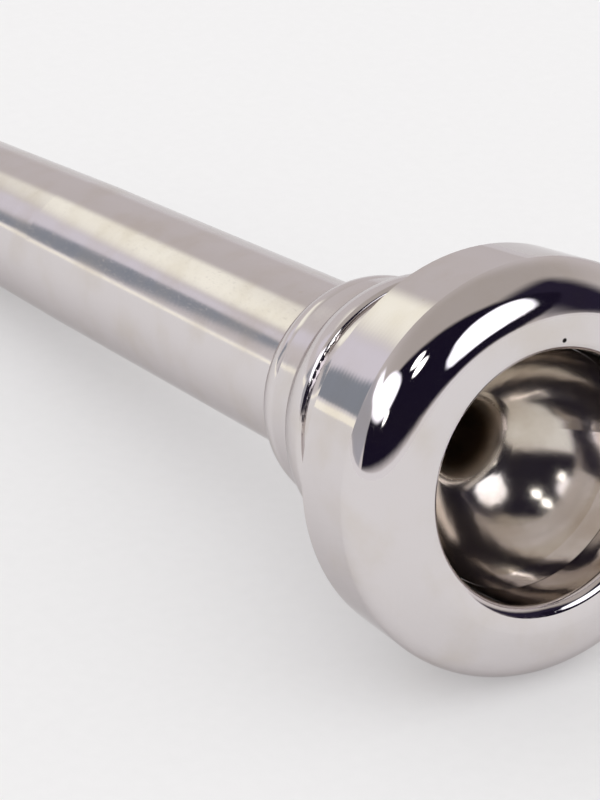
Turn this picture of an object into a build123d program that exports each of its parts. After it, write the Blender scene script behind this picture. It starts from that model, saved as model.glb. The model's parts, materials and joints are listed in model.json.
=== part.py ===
from build123d import *
import math
import os

# A trumpet-type cup mouthpiece that unscrews into three turned pieces: the rim, the cup and the shank.
# A rubber ring seals each of its two screw joints. Lengths are millimetres, angles degrees.
#
# Every piece is turned about the X axis. "Depth" is the distance behind the plane that touches the
# rim's crest, so a point at depth d lies at x = -d until the whole mouthpiece is laid on its side.

# Rim
RIM_RADIUS = 13.6
RIM_BACK_RADIUS = 13.25
RIM_FRONT_DEPTH = 3.0
RIM_BACK_DEPTH = 8.4
CREST_RADIUS = 9.9
CREST_CURVE = 5.3
BITE_CURVE = 0.8
EDGE_BREAK = 0.3

# Bowl of the cup, throat and backbore
BITE_RADIUS = 8.25
BOWL_BOTTOM_DEPTH = 9.8
THROAT_RADIUS = 1.83
THROAT_ENTRY_RADIUS = 3.3
THROAT_TOP_DEPTH = 13.2
THROAT_END_DEPTH = 15.6
BACKBORE_MIDDLE_DEPTH = 45.0
BACKBORE_MIDDLE_RADIUS = 3.2
BACKBORE_END_RADIUS = 4.2

# Outside of the cup, from the rim to the shank
FLANGE_RADIUS = 12.75
COVE_END_DEPTH = 14.53
COVE_END_RADIUS = 9.31
COVE_CURVE = 6.2
BEAD_END_DEPTH = 14.95
BEAD_END_RADIUS = 9.62
BEAD_CURVE = 0.42
SHOULDER_CURVE = 5.3
WAIST_DEPTH = 18.3
WAIST_RADIUS = 8.25
HEEL_DEPTH = 20.6
HEEL_RADIUS = 8.0
HEEL_CURVE = 2.8
CUP_END_DEPTH = 23.5
CUP_END_RADIUS = 6.6
JOINT_CHAMFER = 0.2

# Shank: an upper stem, then the 1:20 taper that seats in the instrument
TOTAL_LENGTH = 87.5
SHANK_TOP_RADIUS = 6.1
SHANK_END_RADIUS = 4.9
RECEIVER_TAPER_LENGTH = 26.0
RECEIVER_TAPER = 1 / 20

# Screw threads, the same form at both joints
THREAD_PITCH = 0.75
THREAD_DEPTH = 0.42
THREAD_CREST_WIDTH = 0.1
THREAD_FLANK_ANGLE = 30
THREAD_LEAD_IN = 0.15
CREST_CLEARANCE = 0.06
FLANK_CLEARANCE = 0.05
ROOT_CLEARANCE = 0.1

# Rim joint: the cup's neck stands up inside the rim
NECK_TOP_DEPTH = 3.25
NECK_SPIGOT_RADIUS = 9.6
NECK_STEP_DEPTH = 5.0
NECK_THREAD_RADIUS = 10.5
NECK_THREAD_TOP = 5.5
NECK_THREAD_LENGTH = 2.2

# Shank joint: the shank's tenon goes up inside the cup
TENON_SPIGOT_RADIUS = 4.15
TENON_STEP_DEPTH = 18.3
TENON_THREAD_RADIUS = 5.0
TENON_THREAD_TOP = 18.8
TENON_THREAD_LENGTH = 3.6

# Sealing rings and the fits round them
SEAL_THICKNESS = 0.9
SEAL_GAP = 0.02
RIM_SEAL_DEPTH = 4.05
SHANK_SEAL_DEPTH = 17.2
GLAND_WIDTH = 1.1
SPIGOT_GAP = 0.05
SHOULDER_GAP = 0.05
SMALL_CHAMFER = 0.15

CREST_TO_BITE_CURVE = CREST_CURVE - BITE_CURVE
BITE_ANGLE = math.degrees(math.asin((CREST_RADIUS - BITE_RADIUS - BITE_CURVE) / CREST_TO_BITE_CURVE))
BITE_DEPTH = CREST_CURVE - CREST_TO_BITE_CURVE * math.cos(math.radians(BITE_ANGLE))
BOWL_LENGTH = BOWL_BOTTOM_DEPTH - BITE_DEPTH
TAPER_TOP_DEPTH = TOTAL_LENGTH - RECEIVER_TAPER_LENGTH
TAPER_TOP_RADIUS = SHANK_END_RADIUS + RECEIVER_TAPER_LENGTH * RECEIVER_TAPER / 2
RIM_SEAL_RADIUS = NECK_SPIGOT_RADIUS + SEAL_GAP + SEAL_THICKNESS / 2
SHANK_SEAL_RADIUS = TENON_SPIGOT_RADIUS + SPIGOT_GAP - SEAL_GAP - SEAL_THICKNESS / 2


def at(depth, radius):
    """A point of an outline, from its depth behind the rim and its distance from the axis."""
    return (-depth, radius)


def turned(*lines):
    """The solid that a closed outline sweeps in one turn about the X axis."""
    return revolve(make_face(lines), axis=Axis.X)


def thread_ridge(major_radius, top, length, spread, sink):
    """The helical ridge of a right-hand thread. spread widens each flank, and sink takes the
    ridge's foot below the thread's root. Ridges whose bottoms are whole turns apart are in step."""
    foot_radius = major_radius - THREAD_DEPTH - sink
    height = major_radius - foot_radius
    half_crest = THREAD_CREST_WIDTH / 2 + spread
    half_foot = half_crest + height * math.tan(math.radians(THREAD_FLANK_ANGLE))
    helix = Helix(THREAD_PITCH, length, foot_radius, (-top - length, 0, 0), (1, 0, 0))
    start = helix @ 0
    outward = Vector(0, start.Y, start.Z).normalized()
    section_plane = Plane(origin=start, x_dir=outward, z_dir=helix % 0)
    corners = [(0, -half_foot), (height, -half_crest), (height, half_crest), (0, half_foot)]
    section = section_plane * make_face(Polyline(*corners, close=True))
    return sweep(section, path=helix, is_frenet=True)


def male_thread(major_radius, top, length):
    """The ridge that stands on a tenon."""
    return thread_ridge(major_radius, top, length, 0, SPIGOT_GAP)


def female_thread(major_radius, top, length):
    """The groove that is cut in a socket. It starts a little before the ridge and runs out
    through the socket's mouth, two whole turns past the ridge's bottom."""
    groove_length = length + THREAD_LEAD_IN + 2 * THREAD_PITCH
    groove_radius = major_radius + CREST_CLEARANCE
    return thread_ridge(groove_radius, top - THREAD_LEAD_IN, groove_length, FLANK_CLEARANCE, 0)


def socket_radius(major_radius):
    """Inner radius of a socket, between its thread grooves."""
    return major_radius - THREAD_DEPTH + ROOT_CLEARANCE


def bowl_angle(depth):
    """Angle round the bowl's quarter ellipse to the point at this depth."""
    return math.degrees(math.asin((depth - BITE_DEPTH) / BOWL_LENGTH))


def bowl_curve(top, bottom):
    """The bowl's outline from one depth down to another."""
    return EllipticalCenterArc(
        center=at(BITE_DEPTH, 0),
        x_radius=BOWL_LENGTH,
        y_radius=BITE_RADIUS,
        start_angle=90 + bowl_angle(top),
        arc_size=bowl_angle(bottom) - bowl_angle(top),
    )


def rim():
    """The rim: rounded face, straight side, and a threaded socket open at its back."""
    bore = socket_radius(NECK_THREAD_RADIUS)
    spigot_bore = NECK_SPIGOT_RADIUS + SPIGOT_GAP
    gland_floor = RIM_SEAL_RADIUS + SEAL_THICKNESS / 2 + SEAL_GAP
    gland_top = RIM_SEAL_DEPTH - GLAND_WIDTH / 2
    gland_bottom = RIM_SEAL_DEPTH + GLAND_WIDTH / 2
    socket_top = NECK_TOP_DEPTH - SHOULDER_GAP
    socket_step = NECK_STEP_DEPTH - SHOULDER_GAP
    bite_centre = at(BITE_DEPTH, BITE_RADIUS + BITE_CURVE)
    bite = CenterArc(bite_centre, BITE_CURVE, 270, 90 - BITE_ANGLE)
    crest = CenterArc(at(CREST_CURVE, CREST_RADIUS), CREST_CURVE, -BITE_ANGLE, BITE_ANGLE)
    front = EllipticalCenterArc(
        at(RIM_FRONT_DEPTH, CREST_RADIUS), RIM_FRONT_DEPTH, RIM_RADIUS - CREST_RADIUS, 0, arc_size=90
    )
    bowl = bowl_curve(BITE_DEPTH, socket_top)
    walls = Polyline(
        front @ 1,
        at(RIM_BACK_DEPTH - EDGE_BREAK, RIM_BACK_RADIUS),
        at(RIM_BACK_DEPTH, RIM_BACK_RADIUS - EDGE_BREAK),
        at(RIM_BACK_DEPTH, bore + EDGE_BREAK),
        at(RIM_BACK_DEPTH - EDGE_BREAK, bore),
        at(socket_step, bore),
        at(socket_step, spigot_bore),
        at(gland_bottom, spigot_bore),
        at(gland_bottom, gland_floor),
        at(gland_top, gland_floor),
        at(gland_top, spigot_bore),
        at(socket_top, spigot_bore),
        bowl @ 1,
    )
    outline = [bite, crest, front, walls, bowl]
    ring = turned(*[edge for line in outline for edge in line.edges()])
    return ring - female_thread(NECK_THREAD_RADIUS, NECK_THREAD_TOP, NECK_THREAD_LENGTH)


def cup():
    """The cup: bowl and throat inside, a threaded neck in front and a threaded socket behind."""
    neck_root = NECK_THREAD_RADIUS - THREAD_DEPTH
    bore = socket_radius(TENON_THREAD_RADIUS)
    spigot_bore = TENON_SPIGOT_RADIUS + SPIGOT_GAP
    bowl_end_cosine = THROAT_ENTRY_RADIUS / BITE_RADIUS
    bowl_end_depth = BITE_DEPTH + BOWL_LENGTH * math.sqrt(1 - bowl_end_cosine ** 2)
    bowl = bowl_curve(NECK_TOP_DEPTH, bowl_end_depth)
    throat_top = at(THROAT_TOP_DEPTH, THROAT_RADIUS)
    throat_entry = Spline(bowl @ 1, throat_top, tangents=[bowl % 1, (-1, 0)])
    neck = Polyline(
        bowl @ 0,
        at(NECK_TOP_DEPTH, NECK_SPIGOT_RADIUS - SMALL_CHAMFER),
        at(NECK_TOP_DEPTH + SMALL_CHAMFER, NECK_SPIGOT_RADIUS),
        at(NECK_STEP_DEPTH, NECK_SPIGOT_RADIUS),
        at(NECK_STEP_DEPTH, neck_root),
        at(RIM_BACK_DEPTH, neck_root),
        at(RIM_BACK_DEPTH, FLANGE_RADIUS - JOINT_CHAMFER),
        at(RIM_BACK_DEPTH + JOINT_CHAMFER, FLANGE_RADIUS),
    )
    cove = RadiusArc(neck @ 1, at(COVE_END_DEPTH, COVE_END_RADIUS), COVE_CURVE)
    bead = RadiusArc(cove @ 1, at(BEAD_END_DEPTH, BEAD_END_RADIUS), -BEAD_CURVE)
    shoulder = RadiusArc(bead @ 1, at(WAIST_DEPTH, WAIST_RADIUS), -SHOULDER_CURVE)
    waist = Line(shoulder @ 1, at(HEEL_DEPTH, HEEL_RADIUS))
    heel_end = at(CUP_END_DEPTH - JOINT_CHAMFER, CUP_END_RADIUS)
    heel = RadiusArc(waist @ 1, heel_end, -HEEL_CURVE)
    socket = Polyline(
        heel @ 1,
        at(CUP_END_DEPTH, CUP_END_RADIUS - JOINT_CHAMFER),
        at(CUP_END_DEPTH, bore + JOINT_CHAMFER),
        at(CUP_END_DEPTH - JOINT_CHAMFER, bore),
        at(TENON_STEP_DEPTH - SHOULDER_GAP, bore),
        at(TENON_STEP_DEPTH - SHOULDER_GAP, spigot_bore),
        at(THROAT_END_DEPTH, spigot_bore),
        at(THROAT_END_DEPTH, THROAT_RADIUS),
        throat_top,
    )
    outline = [neck, cove, bead, shoulder, waist, heel, socket, throat_entry, bowl]
    body = turned(*[edge for line in outline for edge in line.edges()])
    body -= female_thread(TENON_THREAD_RADIUS, TENON_THREAD_TOP, TENON_THREAD_LENGTH)
    return body + male_thread(NECK_THREAD_RADIUS, NECK_THREAD_TOP, NECK_THREAD_LENGTH)


def shank():
    """The shank: a threaded tenon with its seal gland, the stem, and the flaring backbore inside."""
    root = TENON_THREAD_RADIUS - THREAD_DEPTH
    gland_floor = SHANK_SEAL_RADIUS - SEAL_THICKNESS / 2 - SEAL_GAP
    gland_top = SHANK_SEAL_DEPTH - GLAND_WIDTH / 2
    gland_bottom = SHANK_SEAL_DEPTH + GLAND_WIDTH / 2
    tenon_top = THROAT_END_DEPTH + SHOULDER_GAP
    outside = Polyline(
        at(tenon_top, THROAT_RADIUS),
        at(tenon_top, TENON_SPIGOT_RADIUS - SMALL_CHAMFER),
        at(tenon_top + SMALL_CHAMFER, TENON_SPIGOT_RADIUS),
        at(gland_top, TENON_SPIGOT_RADIUS),
        at(gland_top, gland_floor),
        at(gland_bottom, gland_floor),
        at(gland_bottom, TENON_SPIGOT_RADIUS),
        at(TENON_STEP_DEPTH, TENON_SPIGOT_RADIUS),
        at(TENON_STEP_DEPTH, root),
        at(CUP_END_DEPTH, root),
        at(CUP_END_DEPTH, SHANK_TOP_RADIUS - JOINT_CHAMFER),
        at(CUP_END_DEPTH + JOINT_CHAMFER, SHANK_TOP_RADIUS),
        at(TAPER_TOP_DEPTH, TAPER_TOP_RADIUS),
        at(TOTAL_LENGTH - JOINT_CHAMFER, SHANK_END_RADIUS),
        at(TOTAL_LENGTH, SHANK_END_RADIUS - JOINT_CHAMFER),
        at(TOTAL_LENGTH, BACKBORE_END_RADIUS),
    )
    backbore_middle = at(BACKBORE_MIDDLE_DEPTH, BACKBORE_MIDDLE_RADIUS)
    backbore = ThreePointArc(outside @ 1, backbore_middle, outside @ 0)
    stem = turned(*outside.edges(), *backbore.edges())
    return stem + male_thread(TENON_THREAD_RADIUS, TENON_THREAD_TOP, TENON_THREAD_LENGTH)


def seal(depth, middle_radius):
    """A rubber sealing ring of round section."""
    section = Pos(-depth, middle_radius) * Circle(SEAL_THICKNESS / 2)
    return revolve(section, axis=Axis.X)


def resting_tilt(front_piece, back_piece):
    """How far the axis tips, about Y, when the rim and the shank's end both touch the floor."""
    tilt = 0.0
    reach = TOTAL_LENGTH - RIM_FRONT_DEPTH
    for _ in range(4):
        turn = Rot(0, tilt, 0)
        front_low = (turn * front_piece).bounding_box().min.Z
        back_low = (turn * back_piece).bounding_box().min.Z
        tilt -= math.degrees(math.asin((back_low - front_low) / reach))
    return tilt


pieces = {
    "rim": rim(),
    "cup": cup(),
    "shank": shank(),
    "rim_seal": seal(RIM_SEAL_DEPTH, RIM_SEAL_RADIUS),
    "shank_seal": seal(SHANK_SEAL_DEPTH, SHANK_SEAL_RADIUS),
}

tilt = resting_tilt(pieces["rim"], pieces["shank"])
laid = Compound(children=[Rot(0, tilt, 0) * piece for piece in pieces.values()])
box = laid.bounding_box()
placing = Pos(-box.center().X, -box.center().Y, -box.min.Z) * Rot(0, tilt, 0)

os.makedirs("parts", exist_ok=True)
for name, piece in pieces.items():
    export_step(placing * piece, f"parts/{name}.step")

rim_point = placing * Vertex(0, 0, 0)
print("axis tilt", tilt, "rim plane centre", tuple(rim_point.center()))
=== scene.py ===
import json
import math

import bpy
from mathutils import Matrix, Vector

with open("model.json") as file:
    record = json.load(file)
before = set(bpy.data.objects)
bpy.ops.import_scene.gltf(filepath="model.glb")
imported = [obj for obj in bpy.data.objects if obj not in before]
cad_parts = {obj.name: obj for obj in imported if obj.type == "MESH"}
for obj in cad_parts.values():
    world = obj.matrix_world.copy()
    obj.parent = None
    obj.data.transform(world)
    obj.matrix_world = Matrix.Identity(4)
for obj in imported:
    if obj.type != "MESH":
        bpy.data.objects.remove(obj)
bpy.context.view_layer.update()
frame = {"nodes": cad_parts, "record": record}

# A silver-plated trumpet mouthpiece, lying on its rim's edge and its shank's end, on white paper
# in a small studio. Lengths are metres; angles are degrees.

MM = 0.001

# The turning axis runs from the shank's end to the rim, and rises a little. The throat's mount lies
# on it, at a known depth behind the plane that touches the rim's crest.
THROAT_MOUNT_DEPTH = 14.4 * MM
throat = next(mount for mount in frame["record"]["mounts"] if mount["name"] == "throat_bore")
AXIS = Vector(throat["axis"]).normalized()
RIM_CENTRE = Vector(throat["pos_m"]) + THROAT_MOUNT_DEPTH * AXIS

# The camera looks down at the rim's face from its left.
CAMERA_AZIMUTH = 58.49
CAMERA_ELEVATION = 24.67
CAMERA_DISTANCE = 213.829 * MM
CAMERA_LENS = 156.2

FLOOR_SIZE = 6.0


def direction(azimuth, elevation):
    """Unit vector from two angles in degrees: azimuth from +X towards +Y, elevation from the floor."""
    a = math.radians(azimuth)
    e = math.radians(elevation)
    return Vector((math.cos(e) * math.cos(a), math.cos(e) * math.sin(a), math.sin(e)))


def add_camera():
    """A long lens, level with the horizon, framed so that the rim and the shank run out of view."""
    right = direction(CAMERA_AZIMUTH, 0)
    back = direction(CAMERA_AZIMUTH - 90, CAMERA_ELEVATION)
    up = back.cross(right)
    data = bpy.data.cameras.new("camera")
    data.sensor_fit = "VERTICAL"
    data.sensor_height = 36.0
    data.lens = CAMERA_LENS
    data.shift_x = -0.0159
    data.shift_y = -0.0224
    data.clip_start = 0.01
    camera = bpy.data.objects.new("camera", data)
    bpy.context.scene.collection.objects.link(camera)
    place = RIM_CENTRE - 14.867 * MM * right + 6.141 * MM * up + CAMERA_DISTANCE * back
    columns = Matrix((right, up, back)).transposed().to_4x4()
    camera.matrix_world = Matrix.Translation(place) @ columns
    bpy.context.scene.camera = camera


# ---- Nodes ------------------------------------------------------------------------------------

def put(tree, kind, inputs=None, **settings):
    """Adds a node, sets its properties, and fills or links its inputs, by name or by number."""
    node = tree.nodes.new(kind)
    for key, value in settings.items():
        setattr(node, key, value)
    for key, value in (inputs or {}).items():
        if isinstance(value, bpy.types.NodeSocket):
            tree.links.new(value, node.inputs[key])
        else:
            node.inputs[key].default_value = value
    return node


def calc(tree, operation, first, second=0.0, clamp=False):
    node = put(tree, "ShaderNodeMath", {0: first, 1: second}, operation=operation, use_clamp=clamp)
    return node.outputs[0]


def dot(tree, vector, constant):
    node = put(tree, "ShaderNodeVectorMath", {0: vector, 1: tuple(constant)}, operation="DOT_PRODUCT")
    return node.outputs["Value"]


def ramp(tree, value, start, end, low_value=0.0, high_value=1.0, smooth=True):
    """value taken from start..end to low_value..high_value."""
    node = put(
        tree, "ShaderNodeMapRange",
        {"Value": value, "From Min": start, "From Max": end, "To Min": low_value, "To Max": high_value},
        interpolation_type="SMOOTHSTEP" if smooth else "LINEAR",
    )
    return node.outputs["Result"]


def blend(tree, factor, first, second, mode="MIX"):
    """Mixes two colours."""
    node = put(tree, "ShaderNodeMix", data_type="RGBA", blend_type=mode)
    for key, value in ((0, factor), (6, first), (7, second)):
        if isinstance(value, bpy.types.NodeSocket):
            tree.links.new(value, node.inputs[key])
        else:
            node.inputs[key].default_value = value
    return node.outputs[2]


# ---- Studio -----------------------------------------------------------------------------------

PAPER = (0.88, 0.86, 0.875, 1.0)
PAPER_EDGE = (1.25, 1.22, 1.08, 1.0)
ROOM_LOW = (0.76, 0.72, 0.72, 1.0)
ROOM_HIGH = (0.50, 0.46, 0.43, 1.0)
DARK = (0.010, 0.007, 0.020, 1.0)
DUSK = (0.022, 0.017, 0.038, 1.0)
SLATE = (0.46, 0.46, 0.50, 1.0)
STEEL = (0.30, 0.33, 0.38, 1.0)
LILAC = (0.84, 0.81, 0.88, 1.0)
CREAM = (1.24, 1.23, 1.09, 1.0)
LAMP = (3.6, 3.6, 3.6, 1.0)
WINDOW = (1.9, 1.9, 2.1, 1.0)

# What stands round the object, from the back layer to the front one: name, shape, azimuth,
# elevation, half width, half height, softness of its edge (all in degrees), and colour.
STUDIO = [
    ("side wall", "box", -118, 14, 26, 12, 8, SLATE),
    ("dark corner", "box", 48, 28, 17, 27, 18, DUSK),
    ("dark room", "box", -28, 36, 60, 31, 9, DARK),
    ("left window", "oval", -86, 36, 23, 11.5, 3, WINDOW),
    ("left window's far end", "oval", -118, 31, 18, 4.5, 3, WINDOW),
    ("right window", "oval", 17, 31, 15, 16, 3, WINDOW),
    ("upper lamp", "oval", -50, 52, 4.5, 4.5, 2, LAMP),
    ("lower lamp", "oval", -36, 45, 4.5, 4.5, 2, LAMP),
    ("third lamp", "oval", -60, 26, 3, 3, 2, LAMP),
    ("cream card", "box", -173, 24.5, 11, 4.0, 6, CREAM),
    ("lilac card", "box", -163, 15, 7, 4.5, 4, LILAC),
    ("steel card", "box", -154.6, 9.0, 3.3, 6.4, 2, STEEL),
]
# The paper reaches a little above the horizon, and its far edge is bright at one place.
PAPER_RISE = 2.8
OVAL_POWER = 2.5
EDGE_AZIMUTH = -152


def panel_mask(tree, toward, shape, azimuth, elevation, half_width, half_height, softness):
    """1 where a ray's direction meets a panel of the studio, 0 elsewhere, with a soft edge."""
    centre = direction(azimuth, elevation)
    across = direction(azimuth + 90, 0)
    upward = centre.cross(across)
    ahead = dot(tree, toward, centre)
    safe = calc(tree, "MAXIMUM", ahead, 0.05)
    x = calc(tree, "DIVIDE", dot(tree, toward, across), safe)
    y = calc(tree, "DIVIDE", dot(tree, toward, upward), safe)
    wide = math.tan(math.radians(half_width))
    tall = math.tan(math.radians(half_height))
    edge = math.tan(math.radians(softness))
    if shape == "oval":
        x = calc(tree, "POWER", calc(tree, "DIVIDE", calc(tree, "ABSOLUTE", x), wide), OVAL_POWER)
        y = calc(tree, "POWER", calc(tree, "DIVIDE", calc(tree, "ABSOLUTE", y), tall), OVAL_POWER)
        reach = calc(tree, "POWER", calc(tree, "ADD", x, y), 1 / OVAL_POWER)
        share = edge / min(wide, tall)
        mask = ramp(tree, reach, 1 + share / 2, 1 - share / 2)
    else:
        mask_x = ramp(tree, calc(tree, "ABSOLUTE", x), wide + edge / 2, wide - edge / 2)
        mask_y = ramp(tree, calc(tree, "ABSOLUTE", y), tall + edge / 2, tall - edge / 2)
        mask = calc(tree, "MULTIPLY", mask_x, mask_y)
    in_front = calc(tree, "GREATER_THAN", ahead, 0.05)
    return calc(tree, "MULTIPLY", mask, in_front)


def add_world():
    """White to the camera and to matt surfaces; the studio's panels in mirror reflections."""
    world = bpy.data.worlds.new("studio")
    bpy.context.scene.world = world
    world.use_nodes = True
    tree = world.node_tree
    tree.nodes.clear()
    toward = put(tree, "ShaderNodeTexCoord").outputs["Generated"]
    height = dot(tree, toward, (0.0, 0.0, 1.0))
    colour = blend(tree, ramp(tree, height, 0.1, 0.9), ROOM_LOW, ROOM_HIGH)
    for name, *where, panel in STUDIO:
        colour = blend(tree, panel_mask(tree, toward, *where), colour, panel)
    rise = math.sin(math.radians(PAPER_RISE))
    colour = blend(tree, ramp(tree, height, rise + 0.008, rise - 0.008), colour, PAPER)
    edge = panel_mask(tree, toward, "box", EDGE_AZIMUTH, 0.5, 9, 1.4, 1)
    colour = blend(tree, edge, colour, PAPER_EDGE)
    glossy = put(tree, "ShaderNodeLightPath").outputs["Is Glossy Ray"]
    colour = blend(tree, glossy, (1.0, 1.0, 1.0, 1.0), colour)
    background = put(tree, "ShaderNodeBackground", {"Color": colour})
    put(tree, "ShaderNodeOutputWorld", {"Surface": background.outputs[0]})


def add_floor():
    """Matt white paper, which glows a little so that the object's shadow stays pale."""
    mesh = bpy.data.meshes.new("floor")
    half = FLOOR_SIZE / 2
    corners = [(-half, -half, 0.0), (half, -half, 0.0), (half, half, 0.0), (-half, half, 0.0)]
    mesh.from_pydata(corners, [], [(0, 1, 2, 3)])
    floor = bpy.data.objects.new("floor", mesh)
    bpy.context.scene.collection.objects.link(floor)
    floor.location.z = -0.00002
    paper = bpy.data.materials.new("paper")
    paper.use_nodes = True
    tree = paper.node_tree
    shader = tree.nodes["Principled BSDF"]
    spot = put(tree, "ShaderNodeTexCoord").outputs["Object"]
    fibre = put(tree, "ShaderNodeTexNoise", {"Vector": spot, "Scale": 900.0, "Detail": 3.0})
    tone = blend(tree, fibre.outputs["Fac"], (0.65, 0.64, 0.64, 1.0), (0.68, 0.67, 0.67, 1.0))
    tree.links.new(tone, shader.inputs["Base Color"])
    shader.inputs["Emission Color"].default_value = (0.98, 0.98, 0.99, 1.0)
    shader.inputs["Emission Strength"].default_value = 0.24
    shader.inputs["Roughness"].default_value = 0.9
    shader.inputs["Specular IOR Level"].default_value = 0.1
    mesh.materials.append(paper)


# ---- Materials --------------------------------------------------------------------------------

def turned_space(tree):
    """Depth behind the rim, distance from the axis (both in mm) and angle round it (in turns)."""
    spot = put(tree, "ShaderNodeTexCoord").outputs["Object"]
    moved = put(tree, "ShaderNodeVectorMath", {0: spot, 1: tuple(RIM_CENTRE)}, operation="SUBTRACT").outputs[0]
    level = Vector((0.0, 1.0, 0.0))
    upward = AXIS.cross(level)
    depth = calc(tree, "MULTIPLY", dot(tree, moved, AXIS), -1 / MM)
    y = calc(tree, "MULTIPLY", dot(tree, moved, level), 1 / MM)
    z = calc(tree, "MULTIPLY", dot(tree, moved, upward), 1 / MM)
    squares = calc(tree, "ADD", calc(tree, "MULTIPLY", y, y), calc(tree, "MULTIPLY", z, z))
    radius = calc(tree, "SQRT", squares)
    angle = calc(tree, "MULTIPLY", calc(tree, "ARCTAN2", z, y), 1 / math.tau)
    return spot, depth, radius, angle


def silver(name, tint, tarnish, roughness, ring_spacing, scratches):
    """Polished silver plate: turning rings, hairline scratches and faint clouds of tarnish.

    ring_spacing is in mm, and scratches says how deep the hairlines are (0 to 1). Inside the bowl
    the plate is browner and duller towards the bottom, and the throat is painted dark brown as shade down its
    bore."""
    material = bpy.data.materials.new(name)
    material.use_nodes = True
    tree = material.node_tree
    shader = tree.nodes["Principled BSDF"]
    shader.inputs["Metallic"].default_value = 1.0
    shader.inputs["Specular Tint"].default_value = (0.76, 0.74, 0.74, 1.0)
    spot, depth, radius, angle = turned_space(tree)
    bowl_wall = ramp(tree, depth, 0.9, BOWL_BOTTOM, BITE_RADIUS, 0.78 * BITE_RADIUS, smooth=False)
    inside = calc(tree, "LESS_THAN", radius, bowl_wall)
    inside = calc(tree, "MULTIPLY", inside, calc(tree, "LESS_THAN", depth, THROAT_END))
    clouds = put(tree, "ShaderNodeTexNoise", {"Vector": spot, "Scale": 230.0, "Detail": 5.0}).outputs["Fac"]
    specks = put(tree, "ShaderNodeTexNoise", {"Vector": spot, "Scale": 1500.0, "Detail": 2.0}).outputs["Fac"]
    cloudy = ramp(tree, clouds, 0.42, 0.78, 0.0, 0.45)
    speckled = ramp(tree, specks, 0.72, 0.82, 0.0, 0.30)
    stain = calc(tree, "ADD", cloudy, speckled)
    # A depth ramp: browner and duller towards the bowl's bottom, and fully so there and in the throat.
    deeper_in_bowl = ramp(tree, depth, 1.5, BOWL_BOTTOM, 0.45, 1.0)
    dull = calc(tree, "MULTIPLY", inside, deeper_in_bowl)
    colour = blend(tree, stain, tint, tarnish)
    bowl_brown_and_throat_shade = blend(tree, ramp(tree, clouds, 0.30, 0.70), BOWL_LIGHT, BOWL_DARK)
    # Painted shade: the throat is blended to a dark brown that stands for the shade down its bore.
    bowl_brown_and_throat_shade = blend(tree, ramp(tree, depth, BOWL_BOTTOM - 0.6, BOWL_BOTTOM + 1.2), bowl_brown_and_throat_shade, THROAT_PAINTED_SHADE)
    colour = blend(tree, dull, colour, bowl_brown_and_throat_shade)
    pit_across = calc(tree, "SUBTRACT", radius, PIT_RADIUS)
    pit_along = calc(tree, "MULTIPLY", calc(tree, "SUBTRACT", angle, PIT_TURN), math.tau * PIT_RADIUS)
    pit_across = calc(tree, "MULTIPLY", pit_across, pit_across)
    pit_along = calc(tree, "MULTIPLY", pit_along, pit_along)
    from_pit = calc(tree, "SQRT", calc(tree, "ADD", pit_across, pit_along))
    pit = ramp(tree, from_pit, 0.20, 0.11)
    pit = calc(tree, "MULTIPLY", pit, calc(tree, "LESS_THAN", depth, 1.0))
    colour = blend(tree, pit, colour, PIT_BLACK)
    tree.links.new(colour, shader.inputs["Base Color"])

    rings = put(
        tree, "ShaderNodeTexWave",
        {"Vector": put(tree, "ShaderNodeCombineXYZ", {0: depth, 1: radius}).outputs[0],
         "Scale": WAVE_REPEAT / ring_spacing, "Distortion": 0.6, "Detail": 2.0, "Detail Scale": 1.0},
        bands_direction="DIAGONAL",
    ).outputs["Fac"]
    around = calc(tree, "MULTIPLY", angle, 60.0)
    along = calc(tree, "MULTIPLY", depth, 0.35)
    hair = put(
        tree, "ShaderNodeTexNoise",
        {"Vector": put(tree, "ShaderNodeCombineXYZ", {0: around, 1: along, 2: radius}).outputs[0],
         "Scale": 6.0, "Detail": 4.0},
    ).outputs["Fac"]
    rough = ramp(tree, clouds, 0.3, 0.8, roughness * 0.7, roughness * 1.5, smooth=False)
    rough = calc(tree, "ADD", rough, ramp(tree, hair, 0.55, 0.75, 0.0, roughness * scratches))
    funnel = ramp(tree, depth, BOWL_BOTTOM - 1.0, BOWL_BOTTOM + 0.6, 0.0, 0.30)
    haze = calc(tree, "MULTIPLY", dull, calc(tree, "ADD", funnel, BOWL_ROUGHNESS))
    rough = calc(tree, "ADD", rough, haze)
    tree.links.new(rough, shader.inputs["Roughness"])
    relief = calc(tree, "ADD", rings, calc(tree, "MULTIPLY", hair, scratches))
    bump = put(tree, "ShaderNodeBump", {"Height": relief})
    bump.inputs["Strength"].default_value = 0.010
    bump.inputs["Distance"].default_value = 0.02 * MM
    tree.links.new(bump.outputs[0], shader.inputs["Normal"])
    return material


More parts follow.
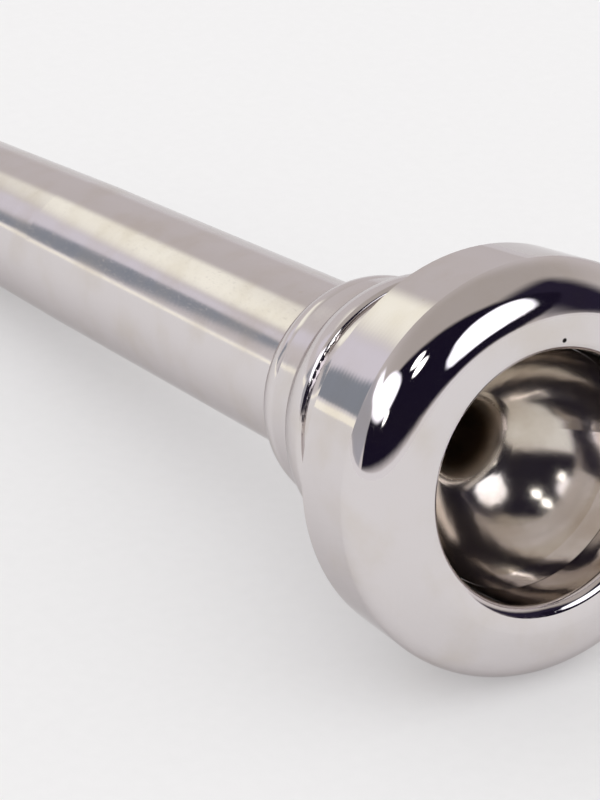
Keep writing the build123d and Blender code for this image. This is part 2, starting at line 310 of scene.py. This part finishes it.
def rubber(name):
    """Matt black rubber with a moulded grain, greyer where it is scuffed and dusty."""
    material = bpy.data.materials.new(name)
    material.use_nodes = True
    tree = material.node_tree
    shader = tree.nodes["Principled BSDF"]
    spot = put(tree, "ShaderNodeTexCoord").outputs["Object"]
    dust = put(tree, "ShaderNodeTexNoise", {"Vector": spot, "Scale": 900.0, "Detail": 4.0}).outputs["Fac"]
    grain = put(tree, "ShaderNodeTexNoise", {"Vector": spot, "Scale": 9000.0, "Detail": 2.0}).outputs["Fac"]
    colour = blend(tree, ramp(tree, dust, 0.40, 0.75), (0.014, 0.014, 0.015, 1.0), (0.055, 0.052, 0.05, 1.0))
    tree.links.new(colour, shader.inputs["Base Color"])
    tree.links.new(ramp(tree, dust, 0.3, 0.7, 0.45, 0.75), shader.inputs["Roughness"])
    bump = put(tree, "ShaderNodeBump", {"Height": grain})
    bump.inputs["Strength"].default_value = 0.4
    bump.inputs["Distance"].default_value = 0.02 * MM
    tree.links.new(bump.outputs[0], shader.inputs["Normal"])
    return material


# A wave texture's diagonal bands repeat about every 0.628 units at a scale of 1.
WAVE_REPEAT = 0.628

SILVER = (0.715, 0.678, 0.678, 1.0)
TARNISH = (0.62, 0.56, 0.49, 1.0)
BOWL_LIGHT = (0.66, 0.61, 0.54, 1.0)
BOWL_DARK = (0.50, 0.43, 0.35, 1.0)
# Painted shade: the throat's colour, a dark brown that stands for the shade down its bore.
THROAT_PAINTED_SHADE = (0.20, 0.135, 0.085, 1.0)
BOWL_ROUGHNESS = 0.05

# One tiny dark pit on the rim's face: its radius from the axis in mm, and its angle in turns
PIT_BLACK = (0.015, 0.013, 0.012, 1.0)
PIT_RADIUS = 9.0
PIT_TURN = 0.229

# Depths behind the rim's crest and radii, in mm, as in the CAD model
BOWL_BOTTOM = 9.8
THROAT_END = 15.6
BITE_RADIUS = 8.25

add_camera()
add_world()
add_floor()

looks = {
    "rim": silver("rim_silver", SILVER, TARNISH, 0.045, 0.36, 0.5),
    "cup": silver("cup_silver", SILVER, TARNISH, 0.09, 0.44, 0.8),
    "shank": silver("shank_silver", SILVER, TARNISH, 0.10, 0.60, 1.0),
    "rim_seal": rubber("rim_seal_rubber"),
    "shank_seal": rubber("shank_seal_rubber"),
}
for name, material in looks.items():
    for place in frame["nodes"][name].material_slots:
        place.material = material

scene = bpy.context.scene
scene.view_settings.view_transform = "Standard"
